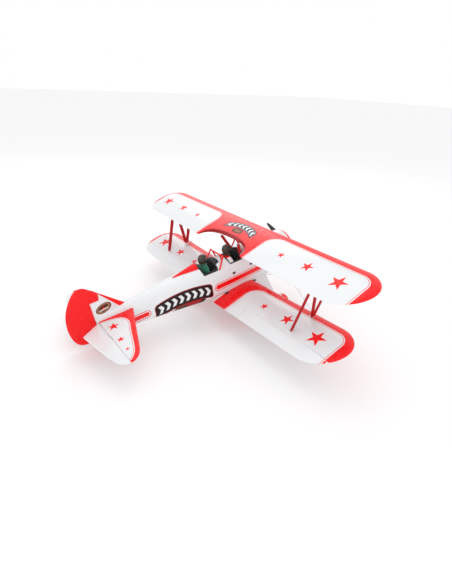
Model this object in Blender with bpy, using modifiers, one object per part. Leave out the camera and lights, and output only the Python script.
"""Radio-controlled foam biplane: a two-seat, radial-engined trainer at one seventh of full size.

Every dimension below is in inches of the full-size aeroplane, the way its drawings are read, and
INCH turns one of them into metres on the model.  The datum frame has +X towards the nose, +Y to
port and +Z up, with its origin at the centre of the lower wing's leading edge.  The whole model
hangs under the empty "airframe", which tips it back onto its tail wheel and puts it on Z = 0.
"""

import math

import bmesh
import bpy
from mathutils import Matrix, Vector

# Scale and fits
INCH = 0.0254 / 7.0
GAP = 0.10
HINGE_GAP = 0.5

# Wings
CHORD = 60.0
INCIDENCE = math.radians(3.8)
UPPER_LE = Vector((26.1, 0.0, 62.3))
UPPER_SPAN = 199.0
UPPER_DIHEDRAL = math.radians(0.12)
LOWER_LE = Vector((0.0, 0.0, 0.0))
LOWER_SPAN = 193.0
LOWER_ROOT = 15.6
LOWER_DIHEDRAL = math.radians(2.1)
WING_THICKNESS = 0.115
WING_CAMBER = 0.030
TRAILING_EDGE = 0.5
SECTION_POINTS = 9
TIP_WIDEST = 26.0
TIP_FRONT_RUN = 28.0
TIP_REAR_RUN = 33.0
TIP_FRONT_POWER = 2.0
TIP_REAR_POWER = 1.9
CUTOUT_HALF_WIDTH = 43.0
CUTOUT_DEPTH = 20.5

# Ailerons, on the lower wing only
AILERON_HINGE = 44.0
AILERON_ROOT = 62.0
AILERON_TRAVEL = math.radians(25.0)
AILERON_HORN_Y = 100.0
AILERON_HORN_RADIUS = 6.0
AILERON_LINK = 15.0

# Tail
HINGE_X = -192.0
STABILISER_Z = 27.0
STABILISER_ROOT_LE = -151.0
STABILISER_SWEEP = 0.352
STABILISER_SPAN = 86.0
STABILISER_INCIDENCE = math.radians(3.7)
TAIL_THICKNESS = 1.9
RUDDER_HINGE_X = -194.0
TAIL_HORN_RADIUS = 5.0
RUDDER_ROD_Z = 18.5
TAIL_SERVO_X = -84.0

# Nose
FIREWALL_X = 24.0
THRUST_Z = 21.0
PROPELLER_X = 70.0
PROPELLER_RADIUS = 42.0
PROPELLER_ANGLE = math.radians(24.5)
COWL_FRONT = 66.0
COWL_REAR = 30.0
COWL_RADIUS = 22.0
CYLINDER_COUNT = 7

# Undercarriage
AXLE = Vector((17.0, 38.0, -33.5))
WHEEL_RADIUS = 11.0
WHEEL_HALF_WIDTH = 2.2
TAIL_AXLE = Vector((-186.5, 0.0, 1.0))
TAIL_PIVOT_X = -182.0
TAIL_WHEEL_RADIUS = 4.0
WHEEL_SIDES = 24

# Fuselage stations: x, half width, bottom, top, height of the widest point
STATIONS = (
    (24.0, 16.6, -2.0, 40.5, 19.0),
    (0.0, 17.5, -3.2, 41.4, 19.0),
    (-30.0, 17.6, -3.0, 41.5, 19.0),
    (-60.0, 16.9, -1.4, 41.4, 19.2),
    (-80.0, 15.2, 0.8, 41.2, 19.4),
    (-105.0, 12.5, 3.2, 40.6, 19.6),
    (-130.0, 9.6, 5.4, 39.0, 19.8),
    (-157.0, 6.5, 7.3, 37.2, 20.0),
    (-178.0, 3.6, 8.4, 34.5, 20.5),
    (-193.4, 1.3, 9.2, 32.0, 21.0),
)
TOP_POWER = 2.9
BOTTOM_POWER = 4.5
WALL = 2.0
CAVITY_END = -148.0
RING_POINTS = 20

# Cockpits: rear edge and front edge of each opening
COCKPITS = {"rear": (-65.5, -48.0), "front": (-29.0, -12.0)}
# Outline of a strut or leg section, and of a propeller blade section, in shares of its chord
STREAMLINE = ((0.5, 0.0), (0.3, 0.42), (0.0, 0.5), (-0.5, 0.06), (-0.5, -0.06), (0.0, -0.5), (0.3, -0.42))
BLADE_SECTION = ((0.5, 0.0), (0.25, 0.42), (-0.15, 0.4), (-0.5, 0.05), (-0.15, -0.2), (0.25, -0.25))

CABANE_CHORD = 4.0
INTERPLANE_CHORD = 4.8
DIAGONAL_CHORD = 4.4
DIAGONAL_SHIFT = 4.9
PILOT_BACK = {"rear": 0.6, "front": 2.8}
HEADREST_TOP = 47.2
COCKPIT_HALF_WIDTH = 15.0
COCKPIT_FLOOR = 25.5

# Belly hatch
HATCH_REAR = -14.0
HATCH_FRONT = 18.0
HATCH_HALF_WIDTH = 8.0

# Stance: the angle at which a level floor touches the main wheels and the tail wheel
WHEELBASE = math.hypot(AXLE.x - TAIL_AXLE.x, AXLE.z - TAIL_AXLE.z)
PITCH = math.atan2(TAIL_AXLE.z - AXLE.z, AXLE.x - TAIL_AXLE.x) + math.asin(
    (WHEEL_RADIUS - TAIL_WHEEL_RADIUS) / WHEELBASE)


# ---------------------------------------------------------------- scene, materials, helpers

def clear_scene():
    """Remove whatever the start-up file holds."""
    for old in list(bpy.data.objects):
        bpy.data.objects.remove(old, do_unlink=True)


def new_collection(name):
    collection = bpy.data.collections.new(name)
    bpy.context.scene.collection.children.link(collection)
    return collection


def finish(name, colour, roughness=0.4, metallic=0.0, alpha=1.0):
    """A Principled material in one plain colour."""
    material = bpy.data.materials.new(name)
    material.use_nodes = True
    shader = material.node_tree.nodes["Principled BSDF"]
    shader.inputs["Base Color"].default_value = (*colour, 1.0)
    shader.inputs["Roughness"].default_value = roughness
    shader.inputs["Metallic"].default_value = metallic
    shader.inputs["Alpha"].default_value = alpha
    return material


clear_scene()
PARTS = new_collection("rc_foam_biplane")
CUTTERS = new_collection("cutters")

WHITE_FILM = finish("white_film", (0.90, 0.91, 0.92), 0.3)
RED_FILM = finish("red_film", (0.80, 0.01, 0.02), 0.3)
STRUT_RED = finish("strut_red", (0.42, 0.0, 0.02), 0.35)
BLACK_PLASTIC = finish("black_plastic", (0.02, 0.02, 0.022), 0.45)
SERVO_BLUE = finish("servo_case", (0.03, 0.05, 0.12), 0.35)
PLYWOOD = finish("plywood", (0.62, 0.44, 0.26), 0.6)
STEEL = finish("steel", (0.55, 0.55, 0.56), 0.3, 1.0)
ALUMINIUM = finish("aluminium", (0.62, 0.63, 0.65), 0.35, 1.0)
RUBBER = finish("rubber", (0.03, 0.03, 0.03), 0.8)
CLEAR = finish("clear_plastic", (0.85, 0.9, 0.92), 0.1, 0.0, 0.35)
LEATHER = finish("pilot_leather", (0.05, 0.03, 0.02), 0.6)
NYLON = finish("white_nylon", (0.85, 0.85, 0.83), 0.5)
SHRINK_WRAP = finish("battery_wrap", (0.05, 0.12, 0.35), 0.4)

airframe = bpy.data.objects.new("airframe", None)
bpy.context.scene.collection.objects.link(airframe)
airframe.rotation_euler = (0.0, -PITCH, 0.0)


def pivot(name, position, parent=airframe):
    """An empty on a joint's axis, at a datum-frame position in full-size inches."""
    empty = bpy.data.objects.new(name, None)
    bpy.context.scene.collection.objects.link(empty)
    empty.location = Vector(position) * INCH
    empty.parent = parent
    return empty


def adopt(mesh_object, parent, at=(0.0, 0.0, 0.0)):
    """Hang a datum-frame object under a pivot that stands at the point `at`, keeping its place."""
    mesh_object.parent = parent
    mesh_object.location = mesh_object.location - Vector(at) * INCH
    return mesh_object


def is_cutter(mesh_object):
    """Turn an object into a guide that the build leaves out."""
    for collection in list(mesh_object.users_collection):
        collection.objects.unlink(mesh_object)
    CUTTERS.objects.link(mesh_object)
    mesh_object.hide_render = True
    mesh_object.display_type = 'WIRE'
    return mesh_object


def from_bmesh(name, shape, material):
    """Wrap a bmesh drawn in inches as an object in metres."""
    bmesh.ops.scale(shape, vec=(INCH, INCH, INCH), verts=shape.verts)
    bmesh.ops.recalc_face_normals(shape, faces=shape.faces)
    mesh = bpy.data.meshes.new(name)
    shape.to_mesh(mesh)
    shape.free()
    mesh.materials.append(material)
    made = bpy.data.objects.new(name, mesh)
    PARTS.objects.link(made)
    made.parent = airframe
    return made


def loft(name, rings, material):
    """Skin a list of closed rings that all have the same number of points, and cap both ends."""
    shape = bmesh.new()
    rows = [[shape.verts.new(point) for point in ring] for ring in rings]
    count = len(rows[0])
    for near, far in zip(rows, rows[1:]):
        for k in range(count):
            after = (k + 1) % count
            shape.faces.new((near[k], near[after], far[after], far[k]))
    shape.faces.new(rows[0])
    shape.faces.new(rows[-1])
    return from_bmesh(name, shape, material)


def box(name, low, high, material):
    """A cuboid between two corners."""
    low = Vector(low)
    high = Vector(high)
    size = high - low
    shape = bmesh.new()
    bmesh.ops.create_cube(shape, size=1.0)
    bmesh.ops.scale(shape, vec=size, verts=shape.verts)
    bmesh.ops.translate(shape, vec=(low + high) / 2.0, verts=shape.verts)
    return from_bmesh(name, shape, material)


def rod(name, start, end, radius, material, sides=10, end_radius=None):
    """A round bar, or a cone, from one point to another."""
    start = Vector(start)
    end = Vector(end)
    along = end - start
    shape = bmesh.new()
    bmesh.ops.create_cone(
        shape, cap_ends=True, segments=sides, radius1=radius,
        radius2=radius if end_radius is None else end_radius, depth=along.length)
    turn = along.to_track_quat('Z', 'Y').to_matrix().to_4x4()
    bmesh.ops.transform(
        shape, matrix=Matrix.Translation((start + end) / 2.0) @ turn, verts=shape.verts)
    return from_bmesh(name, shape, material)


def plate(name, outline, thickness, material, plane="XZ", offset=0.0):
    """A flat outline thickened evenly about its own plane: a filled 2D curve with an extrude."""
    curve = bpy.data.curves.new(name, 'CURVE')
    curve.dimensions = '2D'
    curve.fill_mode = 'BOTH'
    curve.extrude = thickness * INCH / 2.0
    spline = curve.splines.new('POLY')
    spline.points.add(len(outline) - 1)
    for point, (across, up) in zip(spline.points, outline):
        point.co = (across * INCH, up * INCH, 0.0, 1.0)
    spline.use_cyclic_u = True
    flat = bpy.data.objects.new(name + "_outline", curve)
    CUTTERS.objects.link(flat)
    depsgraph = bpy.context.evaluated_depsgraph_get()
    mesh = bpy.data.meshes.new_from_object(flat.evaluated_get(depsgraph))
    bpy.data.objects.remove(flat, do_unlink=True)
    shape = bmesh.new()
    shape.from_mesh(mesh)
    bpy.data.meshes.remove(mesh)
    bmesh.ops.remove_doubles(shape, verts=shape.verts, dist=1e-6)
    bmesh.ops.scale(shape, vec=(1.0 / INCH,) * 3, verts=shape.verts)
    if plane == "XZ":
        stand = Matrix.Rotation(math.pi / 2.0, 4, 'X')
        shift = Matrix.Translation((0.0, offset, 0.0))
    elif plane == "YZ":
        stand = Matrix(((0, 0, 1, 0), (1, 0, 0, 0), (0, 1, 0, 0), (0, 0, 0, 1)))
        shift = Matrix.Translation((offset, 0.0, 0.0))
    else:
        stand = Matrix.Identity(4)
        shift = Matrix.Translation((0.0, 0.0, offset))
    bmesh.ops.transform(shape, matrix=shift @ stand, verts=shape.verts)
    return from_bmesh(name, shape, material)


def turned(name, profile, axis_point, material, along="X", sides=24, closed=False, phase=0.0):
    """A lathe part: (radius, height) points down the outside, spun about an axis by a Screw."""
    mesh = bpy.data.meshes.new(name)
    points = [(radius * INCH, 0.0, height * INCH) for radius, height in profile]
    edges = [(k, k + 1) for k in range(len(points) - 1)]
    if closed:
        edges.append((len(points) - 1, 0))
    mesh.from_pydata(points, edges, [])
    mesh.materials.append(material)
    made = bpy.data.objects.new(name, mesh)
    PARTS.objects.link(made)
    screw = made.modifiers.new("spin", 'SCREW')
    screw.steps = sides
    screw.render_steps = sides
    screw.use_merge_vertices = True
    screw.merge_threshold = 1e-6
    made.location = Vector(axis_point) * INCH
    if along == "X":
        made.rotation_euler = (0.0, math.pi / 2.0, 0.0)
    elif along == "Y":
        made.rotation_euler = (-math.pi / 2.0, phase, 0.0)
    made.parent = airframe
    return made


def combine(target, other, operation):
    """Cut `target` with `other`, or join `other` to it, with an exact boolean."""
    is_cutter(other)
    modifier = target.modifiers.new(other.name, 'BOOLEAN')
    modifier.operation = operation
    modifier.solver = 'EXACT'
    modifier.object = other
    return target


def cut(target, *others):
    for other in others:
        combine(target, other, 'DIFFERENCE')
    return target


def join(target, *others):
    for other in others:
        combine(target, other, 'UNION')
    return target


# ---------------------------------------------------------------- outlines and sections

def wing_section(fraction):
    """Upper and lower height of the wing section at a chord fraction, for a chord of one."""
    root = math.sqrt(max(fraction, 0.0))
    half = 5.0 * WING_THICKNESS * (
        0.2969 * root - 0.1260 * fraction - 0.3516 * fraction ** 2
        + 0.2843 * fraction ** 3 - 0.1036 * fraction ** 4)
    peak = 0.4
    if fraction < peak:
        camber = WING_CAMBER / peak ** 2 * (2.0 * peak * fraction - fraction ** 2)
    else:
        camber = WING_CAMBER / (1.0 - peak) ** 2 * (
            (1.0 - 2.0 * peak) + 2.0 * peak * fraction - fraction ** 2)
    return camber + half, camber - half


def corner(run, reach, distance, power):
    """How far a rounded corner has drawn an edge in, `distance` along its spanwise run."""
    share = min(max(distance / run, 0.0), 1.0)
    return reach * (1.0 - (1.0 - share ** power) ** (1.0 / power))


def wing_limits(y, half_span):
    """Where the chord starts and ends at a spanwise place, measured back from the leading edge."""
    front = corner(TIP_FRONT_RUN, TIP_WIDEST, y - half_span + TIP_FRONT_RUN, TIP_FRONT_POWER)
    rear = corner(
        TIP_REAR_RUN, CHORD - TIP_WIDEST, y - half_span + TIP_REAR_RUN, TIP_REAR_POWER)
    return front, CHORD - rear


def wing_ring(y, side, leading_edge, dihedral, half_span):
    """One closed section of a wing panel."""
    front, back = wing_limits(y, half_span)
    chord = back - front
    edge = max(0.0, (y - half_span + 6.0) / 6.0)
    plump = math.sqrt(max(1.0 - edge ** 2, 0.03))
    ring = []
    fractions = [
        (1.0 - math.cos(math.pi * k / (SECTION_POINTS - 1))) / 2.0 for k in range(SECTION_POINTS)]
    upper = [(f, wing_section(f)[0] * chord * plump + TRAILING_EDGE * plump * f / 2) for f in fractions]
    lower = [(f, wing_section(f)[1] * chord * plump - TRAILING_EDGE * plump * f / 2) for f in fractions]
    for fraction, height in list(reversed(upper)) + lower[1:]:
        behind = front + fraction * chord
        ring.append(Vector((
            leading_edge.x - behind * math.cos(INCIDENCE) + height * math.sin(INCIDENCE),
            side * y,
            leading_edge.z - behind * math.sin(INCIDENCE) + height * math.cos(INCIDENCE)
            + y * math.tan(dihedral))))
    return ring


def tip_stations(half_span):
    """Spanwise places of the sections round a wing tip, closer together towards its end."""
    start = half_span - TIP_REAR_RUN
    return [start + TIP_REAR_RUN * share for share in (0.0, 0.35, 0.6, 0.78, 0.89, 0.955, 0.99)]


def wing_height(behind, y, dihedral):
    """Top and bottom of a wing at a distance behind its leading edge, above that edge's height."""
    top, bottom = wing_section(behind / CHORD)
    base = y * math.tan(dihedral) - behind * math.sin(INCIDENCE)
    return base + top * CHORD, base + bottom * CHORD


def station(x):
    """Fuselage half width, bottom, top and widest height at any x."""
    for front, rear in zip(STATIONS, STATIONS[1:]):
        if x >= rear[0]:
            share = (front[0] - x) / (front[0] - rear[0])
            return tuple(a + (b - a) * share for a, b in zip(front[1:], rear[1:]))
    return STATIONS[-1][1:]


def fuselage_ring(x, inset):
    """One closed fuselage section, drawn in by `inset` (or let out, if it is negative)."""
    half_width, bottom, top, middle = station(x)
    ring = []
    for k in range(RING_POINTS):
        angle = 2.0 * math.pi * k / RING_POINTS
        sine = math.sin(angle)
        cosine = math.cos(angle)
        power = TOP_POWER if sine >= 0.0 else BOTTOM_POWER
        reach = (top - middle if sine >= 0.0 else middle - bottom) - inset
        ring.append(Vector((
            x,
            math.copysign(abs(cosine) ** (2.0 / power), cosine) * (half_width - inset),
            middle + math.copysign(abs(sine) ** (2.0 / power), sine) * reach)))
    return ring


def envelope(name, grow):
    """The solid outside of the fuselage, let out by `grow`, as a cutter for what sits on it."""
    rings = [fuselage_ring(x, -grow) for x, *_ in STATIONS]
    return loft(name, rings, WHITE_FILM)


def clear_of_fuselage(target):
    return cut(target, envelope(target.name + "_seat", GAP))


def arc(centre, radius, first, last, count):
    """Points of an arc in a plane, angles in degrees."""
    points = []
    for k in range(count):
        angle = math.radians(first + (last - first) * k / (count - 1))
        points.append((centre[0] + radius[0] * math.cos(angle), centre[1] + radius[1] * math.sin(angle)))
    return points


# ---------------------------------------------------------------- fuselage

def make_fuselage():
    shell = loft("fuselage_shell", [fuselage_ring(x, 0.0) for x, *_ in STATIONS], WHITE_FILM)
    inner = [x for x, *_ in STATIONS if x > CAVITY_END]
    cavity = [fuselage_ring(FIREWALL_X, WALL)] + [fuselage_ring(x, WALL) for x in inner[1:]]
    cavity.append(fuselage_ring(CAVITY_END, WALL))
    past_the_nose = Vector((3.0, 0.0, 0.0))
    cavity[0] = [point + past_the_nose for point in cavity[0]]
    cut(shell, loft("fuselage_cavity", cavity, WHITE_FILM))
    for name, (rear, front) in COCKPITS.items():
        opening = box(
            name + "_cockpit_opening", (rear, -COCKPIT_HALF_WIDTH, COCKPIT_FLOOR + 3.5),
            (front, COCKPIT_HALF_WIDTH, 60.0), WHITE_FILM)
        cut(shell, opening)
    cut(shell, box(
        "hatch_opening", (HATCH_REAR, -HATCH_HALF_WIDTH, -10.0),
        (HATCH_FRONT, HATCH_HALF_WIDTH, 2.0), WHITE_FILM))
    slot = []
    half = TAIL_THICKNESS / 2.0 + 1.5 * GAP
    for y in (-20.0, 20.0):
        ends = [(x, STABILISER_Z + (x - HINGE_X) * math.tan(STABILISER_INCIDENCE))
                for x in (HINGE_X - 6.0, STABILISER_ROOT_LE + 2.0 * GAP)]
        slot.append([
            Vector((ends[0][0], y, ends[0][1] - half)), Vector((ends[1][0], y, ends[1][1] - half)),
            Vector((ends[1][0], y, ends[1][1] + half)), Vector((ends[0][0], y, ends[0][1] + half))])
    cut(shell, loft("stabiliser_slot", slot, WHITE_FILM))
    for side in (1, -1):
        rings = [wing_ring(y, side, LOWER_LE, LOWER_DIHEDRAL, LOWER_SPAN) for y in (LOWER_ROOT - GAP, 30.0)]
        centre = LOWER_LE + Vector((-CHORD / 2.0, 0.0, 0.5))
        grown = [[point + (point - centre).normalized() * 0.15 for point in ring] for ring in rings]
        for ring, y in zip(grown, (LOWER_ROOT - GAP, 30.0)):
            for point in ring:
                point.y = side * y
        cut(shell, loft("wing_seat_" + ("left" if side > 0 else "right"), grown, WHITE_FILM))
    for name, y, z in (("elevator", 5.0, STABILISER_Z - TAIL_HORN_RADIUS), ("rudder", -5.0, RUDDER_ROD_Z)):
        cut(shell, rod(name + "_rod_exit", (-135.0, y, z), (-196.0, y, z), 1.1, WHITE_FILM, 8))
    return shell


def make_hatch():
    """The belly hatch is the piece of wall that its opening leaves out."""
    hatch = loft("battery_hatch", [fuselage_ring(x, 0.0) for x, *_ in STATIONS[:4]], WHITE_FILM)
    frame = box(
        "hatch_outline", (HATCH_REAR + GAP, -HATCH_HALF_WIDTH + GAP, -10.0),
        (HATCH_FRONT - GAP, HATCH_HALF_WIDTH - GAP, -1.4), WHITE_FILM)
    combine(hatch, frame, 'INTERSECT')
    hinge = (HATCH_REAR + GAP, 0.0, station(HATCH_REAR)[1])
    return adopt(hatch, pivot("hatch_hinge", hinge), hinge)


def make_cockpit():
    rear = COCKPITS["rear"][0] + 0.3
    front = COCKPITS["front"][1] - 0.3
    liner = box("cockpit_liner", (rear, -13.2, COCKPIT_FLOOR - 0.8), (front, 13.2, 29.4), BLACK_PLASTIC)
    hollow = box(
        "liner_hollow", (rear + 0.8, -12.4, COCKPIT_FLOOR), (front - 0.8, 12.4, 40.0), BLACK_PLASTIC)
    cut(liner, hollow)
    for name, (back, ahead) in COCKPITS.items():
        make_pilot("pilot_" + name, (back + ahead) / 2.0 - PILOT_BACK[name])
        make_windscreen("windscreen_" + name, ahead)


def make_pilot(name, x):
    """A bust: a tapered trunk with shoulders, a neck and a helmeted head, all one casting."""
    body = (
        (COCKPIT_FLOOR + GAP, 4.0, 6.5), (32.0, 4.6, 8.5), (36.5, 4.6, 9.6), (39.5, 3.8, 8.0),
        (41.5, 2.6, 4.0), (43.0, 2.4, 2.6), (44.5, 3.8, 3.2), (48.5, 5.0, 4.4), (52.0, 4.4, 3.9),
        (54.3, 2.2, 2.0))
    rings = []
    for z, deep, wide in body:
        rings.append([
            Vector((x + deep * math.cos(k * math.pi / 6.0), wide * math.sin(k * math.pi / 6.0), z))
            for k in range(12)])
    return loft(name, rings, LEATHER)


def make_windscreen(name, sill):
    """A flat front pane with two side panes folded back, on a thin frame."""
    foot = [(sill + 3.5, 15.5, 33.0), (sill + 13.5, 7.0, 33.0)]
    head = [(sill + 12.0, 12.6, 49.6), (sill + 10.4, 6.8, 50.0)]
    foot += [(x, -y, z) for x, y, z in reversed(foot)]
    head += [(x, -y, z) for x, y, z in reversed(head)]
    shape = bmesh.new()
    low = [shape.verts.new(point) for point in foot]
    high = [shape.verts.new(point) for point in head]
    for k in range(3):
        shape.faces.new((low[k], low[k + 1], high[k + 1], high[k]))
    screen = from_bmesh(name, shape, CLEAR)
    skin = screen.modifiers.new("thickness", 'SOLIDIFY')
    skin.thickness = 0.5 * INCH
    skin.offset = 0.0
    return clear_of_fuselage(screen)


def make_headrest():
    """The fairing behind the rear cockpit, drawn out to a point along the spine."""
    rings = []
    for share in (0.0, 0.12, 0.35, 0.65, 1.0):
        half_width = 5.6 * (1.0 - share) + 0.5
        top = HEADREST_TOP * (1.0 - share) + 41.9 * share
        x = -67.0 - 31.5 * share
        outline = arc((0.0, 39.0), (half_width, top - 39.0), 0.0, 180.0, 9)
        outline = [(half_width, 36.0)] + outline + [(-half_width, 36.0)]
        rings.append([Vector((x, y, z)) for y, z in outline])
    return clear_of_fuselage(loft("headrest_fairing", rings, RED_FILM))


# ---------------------------------------------------------------- wings, struts and wires

def make_upper_wing():
    stations = tip_stations(UPPER_SPAN)
    rings = [wing_ring(y, -1, UPPER_LE, UPPER_DIHEDRAL, UPPER_SPAN) for y in reversed(stations)]
    rings.append(wing_ring(0.0, 1, UPPER_LE, UPPER_DIHEDRAL, UPPER_SPAN))
    rings += [wing_ring(y, 1, UPPER_LE, UPPER_DIHEDRAL, UPPER_SPAN) for y in stations]
    wing = loft("upper_wing", rings, WHITE_FILM)
    edge = UPPER_LE.x - CHORD
    outline = [(edge - 8.0, -CUTOUT_HALF_WIDTH - 8.0)]
    for k in range(15):
        angle = math.pi * k / 14.0
        power = 2.0 / 2.5
        cosine = math.cos(angle)
        across = -math.copysign(abs(cosine) ** power, cosine) * CUTOUT_HALF_WIDTH
        outline.append((edge + math.sin(angle) ** power * CUTOUT_DEPTH, across))
    outline.append((edge - 8.0, CUTOUT_HALF_WIDTH + 8.0))
    return cut(wing, plate("cutout", outline, 30.0, WHITE_FILM, "XY", UPPER_LE.z))


def aileron_prism(name, side, outer, inner, gap):
    """A block that follows the hinge line, to cut the aileron's bay and to shape the aileron.

    The hinge is a film along the top surface, so the aileron's front face slopes back below it."""
    rings = []
    for y in (inner, outer):
        top, _ = wing_height(AILERON_HINGE, y, LOWER_DIHEDRAL)
        x = -AILERON_HINGE * math.cos(INCIDENCE)
        slope = math.tan(AILERON_TRAVEL + math.radians(4.0)) if gap > 0.0 else 0.0
        rings.append([
            Vector((x - gap, side * y, top)), Vector((x - gap - 0.05, side * y, top + 6.0)),
            Vector((x - 30.0, side * y, top + 6.0)), Vector((x - 30.0, side * y, top - 12.0)),
            Vector((x - gap - 12.0 * slope, side * y, top - 12.0))])
    return loft(name, rings, WHITE_FILM)


def aileron_hinge(side):
    """A point on the aileron's hinge line and the line's direction, always towards port."""
    top, _ = wing_height(AILERON_HINGE, AILERON_ROOT, LOWER_DIHEDRAL)
    point = Vector((-AILERON_HINGE * math.cos(INCIDENCE), side * AILERON_ROOT, top))
    return point, Vector((0.0, math.cos(LOWER_DIHEDRAL), side * math.sin(LOWER_DIHEDRAL)))


def lower_rings(side):
    stations = [LOWER_ROOT, AILERON_ROOT] + tip_stations(LOWER_SPAN)
    return [wing_ring(y, side, LOWER_LE, LOWER_DIHEDRAL, LOWER_SPAN) for y in stations]


def make_lower_wing(side):
    """A lower wing panel with its aileron, servo, servo arm and pushrod."""
    word = "left" if side > 0 else "right"
    panel = loft("lower_wing_" + word, lower_rings(side), WHITE_FILM)
    cut(panel, aileron_prism("aileron_bay_" + word, side, 250.0, AILERON_ROOT, 0.0))
    aileron = loft("aileron_" + word, lower_rings(side), WHITE_FILM)
    blank = aileron_prism("aileron_blank_" + word, side, 250.0, AILERON_ROOT + 0.3, 0.12)
    combine(aileron, blank, 'INTERSECT')

    hinge, direction = aileron_hinge(side)
    horn_y = AILERON_HORN_Y
    at_horn = hinge + direction * side * (horn_y - AILERON_ROOT) / math.cos(LOWER_DIHEDRAL)
    drop = Vector((0.0, 0.0, -AILERON_HORN_RADIUS))
    pin = at_horn + drop
    horn = plate(
        "aileron_horn_" + word,
        [(at_horn.x - 5.4, at_horn.z - 3.0), (at_horn.x - 3.1, at_horn.z - 3.0),
         (pin.x + 0.6, pin.z + 0.5), (pin.x + 0.6, pin.z - 0.6), (pin.x - 0.8, pin.z - 0.6)],
        0.45, NYLON, "XZ", at_horn.y)
    join(aileron, horn)
    adopt(aileron, pivot("aileron_hinge_" + word, hinge), hinge)

    shaft = at_horn + Vector((AILERON_LINK, 0.0, -1.6))
    servo_low = Vector((shaft.x - 4.6, 0.0, shaft.z - 1.6))
    servo_high = Vector((shaft.x + 1.7, 0.0, shaft.z + 1.6))
    near = abs(at_horn.y) - 1.0
    span = sorted((side * near, side * (near - 6.6)))
    cut(panel, box(
        "servo_pocket_" + word, (servo_low.x - 0.3, span[0] - 0.3, -12.0),
        (servo_high.x + 0.3, span[1] + 0.3, servo_high.z + 0.2), WHITE_FILM))
    cut(panel, box(
        "arm_slot_" + word, (shaft.x - 4.0, at_horn.y - 1.6, -12.0),
        (shaft.x + 4.0, at_horn.y + 1.6, shaft.z + 1.6), WHITE_FILM))
    box("aileron_servo_" + word, (servo_low.x, span[0], servo_low.z), (servo_high.x, span[1], servo_high.z),
        SERVO_BLUE)
    make_arm("aileron_arm_" + word, shaft, drop, 'Y', at_horn.y + side * -0.4)
    aside = Vector((0.0, side * 0.75, 0.0))
    make_link("aileron_pushrod_" + word, shaft, drop, pin, aside, "aileron_arm_" + word)
    return panel


def make_arm(name, shaft, reach, axis, place):
    """A servo arm: a tapered plate with its pivot on the servo's shaft."""
    across = reach.normalized()
    length = reach.length
    outline = []
    for centre, radius, first in ((0.0, 1.0, 90.0), (length, 0.5, -90.0)):
        outline += arc((centre, 0.0), (radius, radius), first, first + 180.0, 5)
    if axis == 'Y':
        turned_outline = [(shaft.x + t, shaft.z + s * across.z) for s, t in outline]
        arm = plate(name, turned_outline, 0.45, NYLON, "XZ", place)
    else:
        turned_outline = [(shaft.x + t, shaft.y + s * across.y) for s, t in outline]
        arm = plate(name, turned_outline, 0.45, NYLON, "XY", place)
    empty = pivot(name + "_shaft", shaft)
    adopt(arm, empty, shaft)
    return arm


def make_link(name, shaft, reach, far_pin, aside, arm_name):
    """A pushrod beside its arm and horn; its pivot is at the arm's end, on the arm."""
    near_pin = shaft + reach
    empty = pivot(name + "_pin", reach, bpy.data.objects[arm_name + "_shaft"])
    along = (far_pin - near_pin).normalized() * 0.5
    link = rod(name, near_pin + aside - along, far_pin + aside + along, 0.22, STEEL, 6)
    return adopt(link, empty, near_pin)


def strut(name, foot, head, chord, material, thickness=1.2):
    """A streamlined strut: a pointed oval section run from foot to head."""
    foot = Vector(foot)
    head = Vector(head)
    outline = STREAMLINE
    rings = [
        [end + Vector((along * chord, across * thickness, 0.0)) for along, across in outline]
        for end in (foot, head)]
    return loft(name, rings, material)


def make_struts():
    """Cabane struts over the fuselage, and an N of three struts out on each side."""
    for side in (1, -1):
        word = "left" if side > 0 else "right"
        for place, foot_x, head_x in (("front", 16.0, 13.0), ("rear", -10.0, -16.5)):
            _, low = wing_height(UPPER_LE.x - head_x, 17.5, UPPER_DIHEDRAL)
            name = "cabane_strut_{}_{}".format(place, word)
            head = (head_x, side * 17.5, UPPER_LE.z + low - 5.0 * GAP)
            bar = strut(name, (foot_x, side * 8.6, 36.0), head,
                        CABANE_CHORD, STRUT_RED)
            clear_of_fuselage(bar)
        feet = {}
        heads = {}
        for place, behind_low, behind_high in (("front", 9.1, 11.4), ("rear", 39.4, 41.7)):
            high, _ = wing_height(behind_low, 130.4, LOWER_DIHEDRAL)
            _, low = wing_height(behind_high, 141.1, UPPER_DIHEDRAL)
            feet[place] = Vector((-behind_low, side * 130.4, high + 6.0 * GAP))
            heads[place] = Vector((UPPER_LE.x - behind_high, side * 141.1, UPPER_LE.z + low - 6.0 * GAP))
            strut("interplane_strut_{}_{}".format(place, word), feet[place], heads[place], INTERPLANE_CHORD,
                  STRUT_RED, 1.5)
        up = heads["rear"] - feet["front"]
        shift = Vector((-DIAGONAL_SHIFT, 0.0, 0.0))
        foot = feet["front"] + up * 0.012 + shift
        head = heads["rear"] - up * 0.012 - shift
        strut("interplane_strut_diagonal_" + word, foot, head, DIAGONAL_CHORD, STRUT_RED, 1.5)
        make_wires(side, word, feet, heads)


def make_wires(side, word, feet, heads):
    """One landing wire and one flying wire a side, ahead of the struts' feet and heads."""
    landing_top = Vector((17.5, side * 17.5, UPPER_LE.z - 2.6))
    landing_end = feet["front"] + Vector((3.2, side * -1.5, 0.9))
    flying_foot = Vector((20.5, side * 19.0, 0.5))
    flying_end = heads["front"] + Vector((3.0, side * -1.5, -1.6))
    rod("landing_wire_" + word, landing_top, landing_end, 0.14, STEEL, 6)
    rod("flying_wire_" + word, flying_foot, flying_end, 0.14, STEEL, 6)


# ---------------------------------------------------------------- tail

def tail_plane_outline():
    """Right half of the stabiliser, as (x, distance from the centreline)."""
    hinge = HINGE_X + HINGE_GAP
    points = [(hinge, 0.0), (STABILISER_ROOT_LE, 0.0)]
    points.append((STABILISER_ROOT_LE - 72.0 * STABILISER_SWEEP, 72.0))
    for x, y in ((-179.6, 78.4), (-183.0, 82.4), (-187.0, 84.9), (hinge, STABILISER_SPAN)):
        points.append((x, y))
    return points


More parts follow.
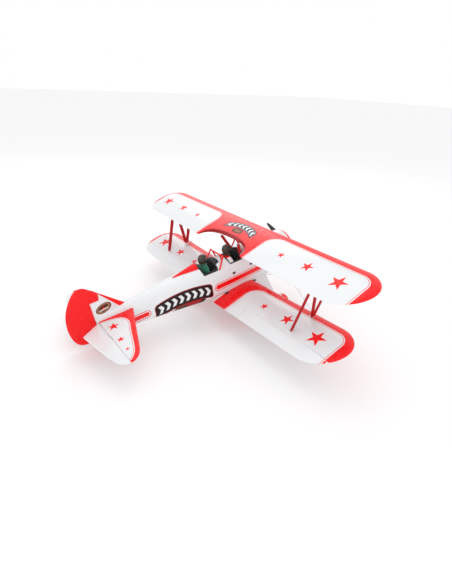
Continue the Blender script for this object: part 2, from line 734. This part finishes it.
def make_stabiliser():
    half = tail_plane_outline()
    outline = half[1:] + [(x, -y) for x, y in reversed(half[2:])]
    flat = plate("stabiliser", outline, TAIL_THICKNESS, WHITE_FILM, "XY", 0.0)
    tilt = Matrix.Translation(Vector((HINGE_X, 0.0, STABILISER_Z)) * INCH)
    tilt = tilt @ Matrix.Rotation(-STABILISER_INCIDENCE, 4, 'Y')
    tilt = tilt @ Matrix.Translation(Vector((-HINGE_X, 0.0, 0.0)) * INCH)
    flat.data.transform(tilt)
    return flat


def elevator_half(name, side):
    outline = [(HINGE_X, 2.4), (HINGE_X, 85.6), (-196.6, 84.2), (-200.6, 80.4), (-203.6, 74.0),
               (-206.4, 62.0), (-213.6, 15.6)]
    outline = [(x, side * y) for x, y in outline]
    return plate(name, outline, TAIL_THICKNESS, WHITE_FILM, "XY", STABILISER_Z)


def make_elevator():
    """Both halves and the torque bar that joins them across the stern post."""
    elevator = elevator_half("elevator", 1)
    bar_x = HINGE_X - 0.7
    bar = rod("elevator_bar", (bar_x, -4.5, STABILISER_Z), (bar_x, 4.5, STABILISER_Z), 0.6, STEEL, 8)
    horn_z = STABILISER_Z - TAIL_HORN_RADIUS
    horn = plate(
        "elevator_horn",
        [(HINGE_X - 3.6, STABILISER_Z), (HINGE_X - 0.9, STABILISER_Z), (HINGE_X - 0.9, STABILISER_Z - 2.0),
         (HINGE_X + 0.5, horn_z + 0.5), (HINGE_X + 0.5, horn_z - 0.6), (HINGE_X - 0.7, horn_z - 0.6)],
        0.45, NYLON, "XZ", 5.0)
    join(elevator, elevator_half("elevator_right_half", -1), bar, horn)
    hinge = (HINGE_X, 0.0, STABILISER_Z)
    return adopt(elevator, pivot("elevator_hinge", hinge), hinge)


def make_fin():
    post = RUDDER_HINGE_X + HINGE_GAP
    outline = [(-150.0, 30.0), (-159.0, 37.4), (-183.2, 60.3), (-183.2, 50.8), (post, 50.8), (post, 29.4)]
    return clear_of_fuselage(plate("fin", outline, TAIL_THICKNESS, WHITE_FILM, "XZ", 0.0))


def make_rudder():
    """The rudder, with the horn balance that reaches forward over the fin."""
    outline = [
        (RUDDER_HINGE_X, 9.2), (RUDDER_HINGE_X, 51.4), (-183.9, 51.4), (-183.9, 60.4), (-190.8, 67.0),
        (-196.0, 71.0), (-203.0, 71.6), (-209.8, 66.5), (-217.2, 55.8), (-221.0, 46.6), (-222.9, 36.0),
        (-222.9, 26.0), (-220.7, 16.4), (-216.8, 10.6), (-211.6, 8.0), (-205.0, 7.4)]
    rudder = plate("rudder", outline, TAIL_THICKNESS, RED_FILM, "XZ", 0.0)
    x = RUDDER_HINGE_X
    horn = plate(
        "rudder_horn",
        [(x - 4.2, 0.0), (x - 1.6, 0.0), (x - 1.6, -2.4),
         (x + 0.5, -4.4), (x + 0.5, -5.6), (x - 0.7, -5.6)],
        0.45, NYLON, "XY", RUDDER_ROD_Z)
    join(rudder, horn)
    hinge = (RUDDER_HINGE_X, 0.0, RUDDER_ROD_Z)
    return adopt(rudder, pivot("rudder_hinge", hinge), hinge)


def make_tail_controls():
    """Elevator and rudder servos in the fuselage, with their arms and long pushrods."""
    down = Vector((0.0, 0.0, -TAIL_HORN_RADIUS))
    shaft = Vector((TAIL_SERVO_X, 5.0, STABILISER_Z))
    box("elevator_servo", (shaft.x - 4.8, -2.6, shaft.z - 1.8),
        (shaft.x + 1.8, 4.4, shaft.z + 1.8), SERVO_BLUE)
    make_arm("elevator_arm", shaft, down, 'Y', 5.0)
    far = Vector((HINGE_X, 5.0, STABILISER_Z - TAIL_HORN_RADIUS))
    make_link("elevator_pushrod", shaft, down, far, Vector((0.0, 0.5, 0.0)), "elevator_arm")
    out = Vector((0.0, -TAIL_HORN_RADIUS, 0.0))
    shaft = Vector((TAIL_SERVO_X, 0.0, RUDDER_ROD_Z))
    box("rudder_servo", (shaft.x - 4.8, -1.8, shaft.z - 7.6),
        (shaft.x + 1.8, 1.8, shaft.z - 0.6), SERVO_BLUE)
    make_arm("rudder_arm", shaft, out, 'Z', RUDDER_ROD_Z)
    far = Vector((RUDDER_HINGE_X, -TAIL_HORN_RADIUS, RUDDER_ROD_Z))
    make_link("rudder_pushrod", shaft, out, far, Vector((0.0, 0.0, 0.5)), "rudder_arm")


# ---------------------------------------------------------------- nose

def make_nose():
    ring = fuselage_ring(FIREWALL_X, 0.0)
    front = FIREWALL_X + GAP
    mount_front = 46.0
    faces = [[Vector((x, p.y, p.z)) for p in ring] for x in (front, front + 1.2)]
    mount = loft("motor_mount", faces, PLYWOOD)
    cone = turned(
        "mount_cone", [(5.6, mount_front - front), (7.4, 1.0), (6.2, 1.0), (4.4, mount_front - front)],
        (front, 0.0, THRUST_Z), ALUMINIUM, "X", 12, True)
    join(mount, cone)
    base = mount_front + 0.2
    turned(
        "motor_stator", [(4.0, 9.6), (4.0, 1.2), (5.0, 1.2), (5.0, 0.0), (1.0, 0.0), (1.0, 9.6)],
        (base, 0.0, THRUST_Z), STEEL, "X", 16, True)
    hub = pivot("propeller_shaft", (PROPELLER_X, 0.0, THRUST_Z))
    at = (PROPELLER_X, 0.0, THRUST_Z)
    rotor = turned(
        "motor_rotor",
        [(0.0, 5.0), (0.7, 5.0), (0.7, -11.6), (5.0, -12.2), (5.0, -21.8), (4.4, -21.8), (4.4, -13.4),
         (0.7, -13.4), (0.7, -23.4), (0.0, -23.4)],
        at, ALUMINIUM, "X", 16)
    adopt(rotor, hub, at)
    adopt(make_propeller(), hub, at)
    lip = 1.4
    depth = COWL_FRONT - COWL_REAR
    turned(
        "cowl",
        [(15.6, depth - 2.6), (16.6, depth - 0.6), (18.4, depth), (20.4, depth - lip), (21.6, depth - 4.4),
         (COWL_RADIUS, depth - 9.0), (21.9, 9.0), (21.2, 0.0), (20.5, 0.0), (21.1, 9.0),
         (21.1, depth - 9.0), (20.4, depth - 5.0), (18.4, depth - 2.4)],
        (COWL_REAR, 0.0, THRUST_Z), WHITE_FILM, "X", 28, True)
    make_dummy_engine()


def make_dummy_engine():
    """A moulded radial engine: a crankcase ring with seven cylinders round it."""
    x = 50.6
    case = turned(
        "dummy_engine", [(6.6, 4.4), (7.4, 3.2), (7.4, -3.2), (6.6, -4.4), (5.8, -4.4), (5.8, 4.4)],
        (x, 0.0, THRUST_Z), BLACK_PLASTIC, "X", 14, True)
    for k in range(CYLINDER_COUNT):
        angle = math.pi / 2.0 + 2.0 * math.pi * k / CYLINDER_COUNT
        out = Vector((0.0, math.cos(angle), math.sin(angle)))
        centre = Vector((x, 0.0, THRUST_Z))
        name = "cylinder_{}".format(k + 1)
        join(case, rod(name, centre + out * 6.4, centre + out * 18.0, 3.0, BLACK_PLASTIC, 8))
    return case


def make_propeller():
    """Two blades with washed-out pitch on a bored hub."""
    centre = Vector((PROPELLER_X, 0.0, THRUST_Z))
    half_hub = Vector((1.5, 0.0, 0.0))
    propeller = rod("propeller", centre - half_hub, centre + half_hub, 2.4, BLACK_PLASTIC, 12)
    for k in range(2):
        turn = PROPELLER_ANGLE + math.pi * k
        out = Vector((0.0, math.cos(turn), math.sin(turn)))
        side = Vector((0.0, -math.sin(turn), math.cos(turn)))
        rings = []
        for share, chord, pitch, thick in (
                (0.03, 2.4, 45.0, 1.6), (0.12, 3.4, 42.0, 1.2), (0.3, 5.6, 32.0, 0.9), (0.55, 6.6, 22.0, 0.65),
                (0.8, 5.6, 16.0, 0.5), (0.94, 3.8, 13.0, 0.4), (1.0, 1.6, 12.0, 0.25)):
            lean = math.radians(pitch)
            chordwise = side * math.cos(lean) + Vector((1.0, 0.0, 0.0)) * math.sin(lean)
            normal = Vector((1.0, 0.0, 0.0)) * math.cos(lean) - side * math.sin(lean)
            spot = centre + out * PROPELLER_RADIUS * share
            rings.append([
                spot + chordwise * chord * u + normal * thick * v
                for u, v in BLADE_SECTION])
        join(propeller, loft("blade_{}".format(k + 1), rings, BLACK_PLASTIC))
    return cut(propeller, rod(
        "propeller_bore", centre + Vector((-4, 0, 0)), centre + Vector((4, 0, 0)), 0.85, BLACK_PLASTIC, 12))


def make_electronics():
    box("battery", (-12.5, -4.5, -0.6), (16.5, 4.5, 6.4), SHRINK_WRAP)
    box("speed_controller", (2.0, -4.0, 10.5), (16.0, 4.0, 13.5), BLACK_PLASTIC)
    box("receiver", (-44.0, -3.0, 6.0), (-33.0, 3.0, 9.5), BLACK_PLASTIC)


# ---------------------------------------------------------------- undercarriage

def make_main_gear(side):
    word = "left" if side > 0 else "right"
    axle = Vector((AXLE.x, side * AXLE.y, AXLE.z))
    outline = STREAMLINE
    rings = []
    for x, y, z, chord, thick in ((13.0, 13.4, 0.5, 18.0, 2.6), (15.6, 25.0, -18.0, 15.0, 2.2),
                                  (AXLE.x, 32.2, AXLE.z, 11.0, 1.6)):
        rings.append([
            Vector((x + u * chord, side * (y + v * thick * 0.85), z + v * thick * 0.5)) for u, v in outline])
    leg = loft("gear_leg_" + word, rings, WHITE_FILM)
    clear_of_fuselage(leg)
    pin = rod("axle_" + word, (axle.x, side * 31.4, axle.z), (axle.x, side * 41.6, axle.z), 0.8, STEEL, 10)
    join(leg, pin)

    rings = []
    for share, half_height, half_width, lift in (
            (0.0, 1.6, 0.8, 0.6), (0.05, 6.0, 2.8, 0.9), (0.15, 9.8, 4.4, 1.4), (0.35, 12.0, 5.2, 2.0),
            (0.55, 11.4, 5.1, 2.6), (0.75, 8.2, 4.0, 3.6), (0.9, 4.4, 2.4, 4.6), (1.0, 1.2, 0.8, 5.2)):
        x = AXLE.x + 18.5 - 44.0 * share
        ring = []
        for k in range(12):
            angle = 2.0 * math.pi * k / 12.0
            power = 2.0 / 2.3
            across = math.copysign(abs(math.cos(angle)) ** power, math.cos(angle))
            up = math.copysign(abs(math.sin(angle)) ** power, math.sin(angle))
            ring.append(Vector((x, axle.y + across * half_width, AXLE.z + lift + up * half_height)))
        rings.append(ring)
    pant = loft("wheel_pant_" + word, rings, WHITE_FILM)
    well = rod(
        "wheel_well_" + word, (axle.x, axle.y - 2.8, axle.z), (axle.x, axle.y + 2.8, axle.z),
        WHEEL_RADIUS + 0.7, WHITE_FILM, 20)
    bore = rod(
        "axle_bore_" + word, (axle.x, axle.y - 8.0, axle.z), (axle.x, axle.y + 8.0, axle.z),
        1.0, WHITE_FILM, 10)
    notch = box(
        "leg_notch_" + word, (axle.x - 6.5, min(side * 24.0, side * 33.4), axle.z - 3.0),
        (axle.x + 6.5, max(side * 24.0, side * 33.4), axle.z + 3.0), WHITE_FILM)
    cut(pant, well, bore, notch)
    hub = pivot("axle_centre_" + word, axle)
    wheel = make_wheel("wheel_" + word, axle, WHEEL_RADIUS, WHEEL_HALF_WIDTH, 1.0)
    adopt(wheel, hub, axle)


def make_wheel(name, centre, radius, half_width, bore):
    """A wheel whose flat-bottomed tread stands on one of its facets."""
    reach = radius / math.cos(math.pi / WHEEL_SIDES)
    profile = [
        (reach, half_width * 0.7), (reach, -half_width * 0.7), (reach * 0.9, -half_width),
        (reach * 0.5, -half_width * 0.8), (bore, -half_width * 0.95), (bore, half_width * 0.95),
        (reach * 0.5, half_width * 0.8), (reach * 0.9, half_width)]
    return turned(name, profile, centre, RUBBER, "Y", WHEEL_SIDES, True, PITCH + math.pi / WHEEL_SIDES)


def make_tail_gear():
    """A steerable fork under the stern, with a trailing wheel."""
    top = station(TAIL_PIVOT_X)[1] - 0.35
    axle = TAIL_AXLE
    steer = Vector((TAIL_PIVOT_X, 0.0, top))
    fork = rod("tail_fork", (TAIL_PIVOT_X, 0.0, 5.6), steer, 0.9, STEEL, 10)
    crown = box("fork_crown", (axle.x - 1.0, -2.3, 5.4), (TAIL_PIVOT_X + 1.2, 2.3, 6.4), STEEL)
    for k, side in enumerate((1, -1)):
        arm = box(
            "fork_arm_{}".format(k + 1), (axle.x - 1.0, min(side * 1.6, side * 2.3), axle.z - 1.0),
            (axle.x + 1.0, max(side * 1.6, side * 2.3), 6.0), STEEL)
        join(crown, arm)
    join(crown, rod("tail_axle", (axle.x, -2.0, axle.z), (axle.x, 2.0, axle.z), 0.45, STEEL, 8))
    join(fork, crown)
    pin = pivot("tail_steering_axis", steer)
    adopt(fork, pin, steer)
    wheel = make_wheel("tail_wheel", axle, TAIL_WHEEL_RADIUS, 1.1, 0.6)
    hub = pivot("tail_wheel_axis", axle - steer, pin)
    adopt(wheel, hub, axle)


def stand_on_ground():
    """Move the airframe so that the origin is at the bottom centre of the model's box."""
    bpy.context.view_layer.update()
    depsgraph = bpy.context.evaluated_depsgraph_get()
    low = Vector((1e9, 1e9, 1e9))
    high = -low
    for part in PARTS.objects:
        solid = part.evaluated_get(depsgraph)
        for vertex in solid.data.vertices:
            place = solid.matrix_world @ vertex.co
            for axis in range(3):
                low[axis] = min(low[axis], place[axis])
                high[axis] = max(high[axis], place[axis])
    airframe.location = (-(low.x + high.x) / 2.0, 0.0, -low.z)


def build():
    make_fuselage()
    make_hatch()
    make_cockpit()
    make_headrest()
    make_upper_wing()
    for side in (1, -1):
        make_lower_wing(side)
        make_main_gear(side)
    make_struts()
    make_stabiliser()
    make_elevator()
    make_fin()
    make_rudder()
    make_tail_controls()
    make_nose()
    make_electronics()
    make_tail_gear()
    stand_on_ground()


build()
